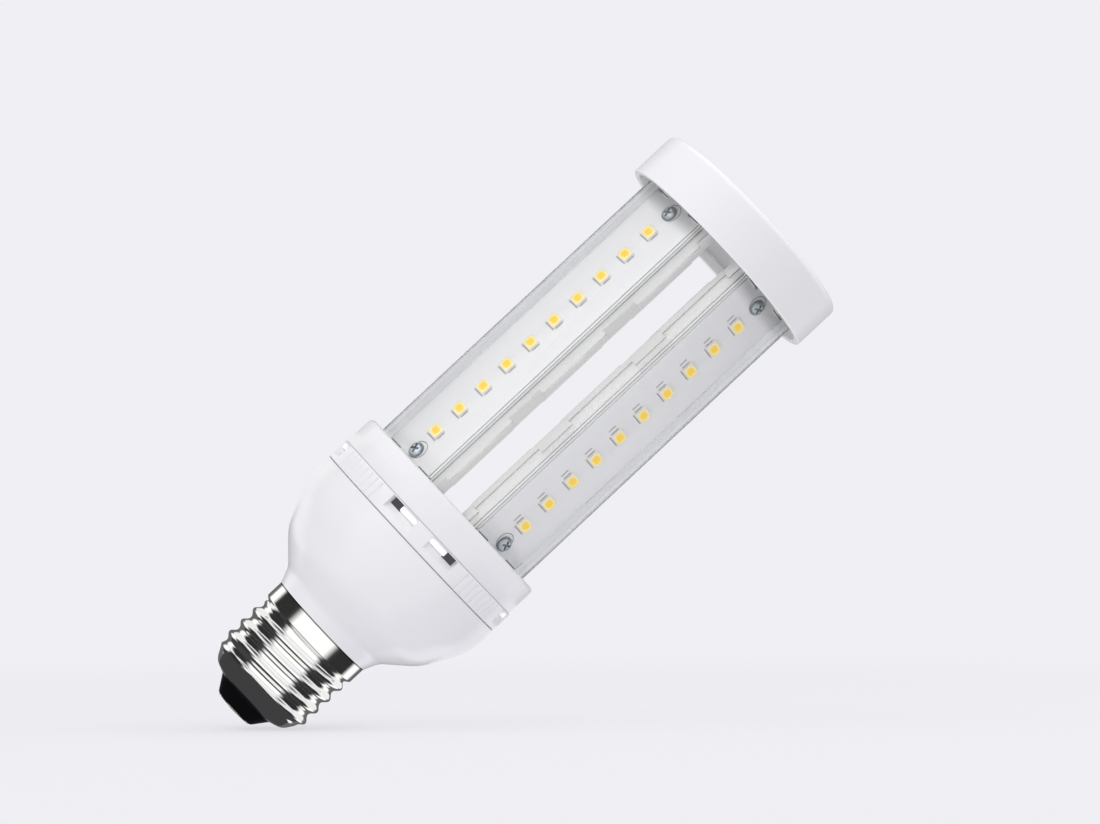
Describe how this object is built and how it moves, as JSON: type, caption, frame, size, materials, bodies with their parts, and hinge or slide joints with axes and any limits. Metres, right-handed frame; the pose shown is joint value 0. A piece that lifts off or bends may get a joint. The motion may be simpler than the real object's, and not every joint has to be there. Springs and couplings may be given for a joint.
{
  "type": "corn lamp",
  "caption": "Screw-base lamp with clear LED columns round an open centre, a bowl-shaped driver housing and a cup-shaped cap.",
  "frame": {"origin": "tip of the base's centre contact, on the lamp's axis", "axes": "+Z along the axis from the screw base to the cap; each column faces a direction midway between the X and Y axes"},
  "size_m": [0.053, 0.053, 0.1583],
  "materials": {
    "nickel_shell": "bright nickel plating",
    "black_insulator": "smooth black",
    "contact_metal": "tinned",
    "white_housing": "smooth moulded white",
    "carrier_plastic": "moulded white",
    "back_plate_plastic": "milky moulded plastic",
    "clear_cover": "clear moulded plastic",
    "white_board": "white solder mask",
    "led_case": "white moulded package",
    "led_phosphor": "yellow phosphor in silicone",
    "screw_steel": "dark plated steel",
    "driver_laminate": "laminate",
    "capacitor_can": "sleeved can",
    "transformer_core": "taped winding on a ferrite core",
    "choke_core": "shrink sleeve on a wound core",
    "film_case": "boxed",
    "black_package": "moulded package",
    "lead_sleeve": "insulated wire"
  },
  "bodies": {
    "root": {"screw_shell": "nickel_shell", "base_insulator": "black_insulator", "centre_contact": "contact_metal", "lamp_housing": "white_housing", "grip_ring": "white_housing", "column_collar": "white_housing", "top_cap": "white_housing", "carrier_plate": "carrier_plastic", "driver_board": "driver_laminate", "driver_capacitor": "capacitor_can", "driver_transformer": "transformer_core", "driver_choke": "choke_core", "film_capacitor": "film_case", "bridge_rectifier": "black_package", "contact_wire": "lead_sleeve", "shell_wire": "lead_sleeve", "board_leads": "lead_sleeve", "back_plate_1": "back_plate_plastic", "back_plate_2": "back_plate_plastic", "back_plate_3": "back_plate_plastic", "back_plate_4": "back_plate_plastic", "led_board_1": "white_board", "led_board_2": "white_board", "led_board_3": "white_board", "led_board_4": "white_board", "led_packages_1": "led_case", "led_packages_2": "led_case", "led_packages_3": "led_case", "led_packages_4": "led_case", "led_phosphors_1": "led_phosphor", "led_phosphors_2": "led_phosphor", "led_phosphors_3": "led_phosphor", "led_phosphors_4": "led_phosphor", "board_screws_1": "screw_steel", "board_screws_2": "screw_steel", "board_screws_3": "screw_steel", "board_screws_4": "screw_steel", "column_cover_1": "clear_cover", "column_cover_2": "clear_cover", "column_cover_3": "clear_cover", "column_cover_4": "clear_cover"}
  },
  "joints": []
}
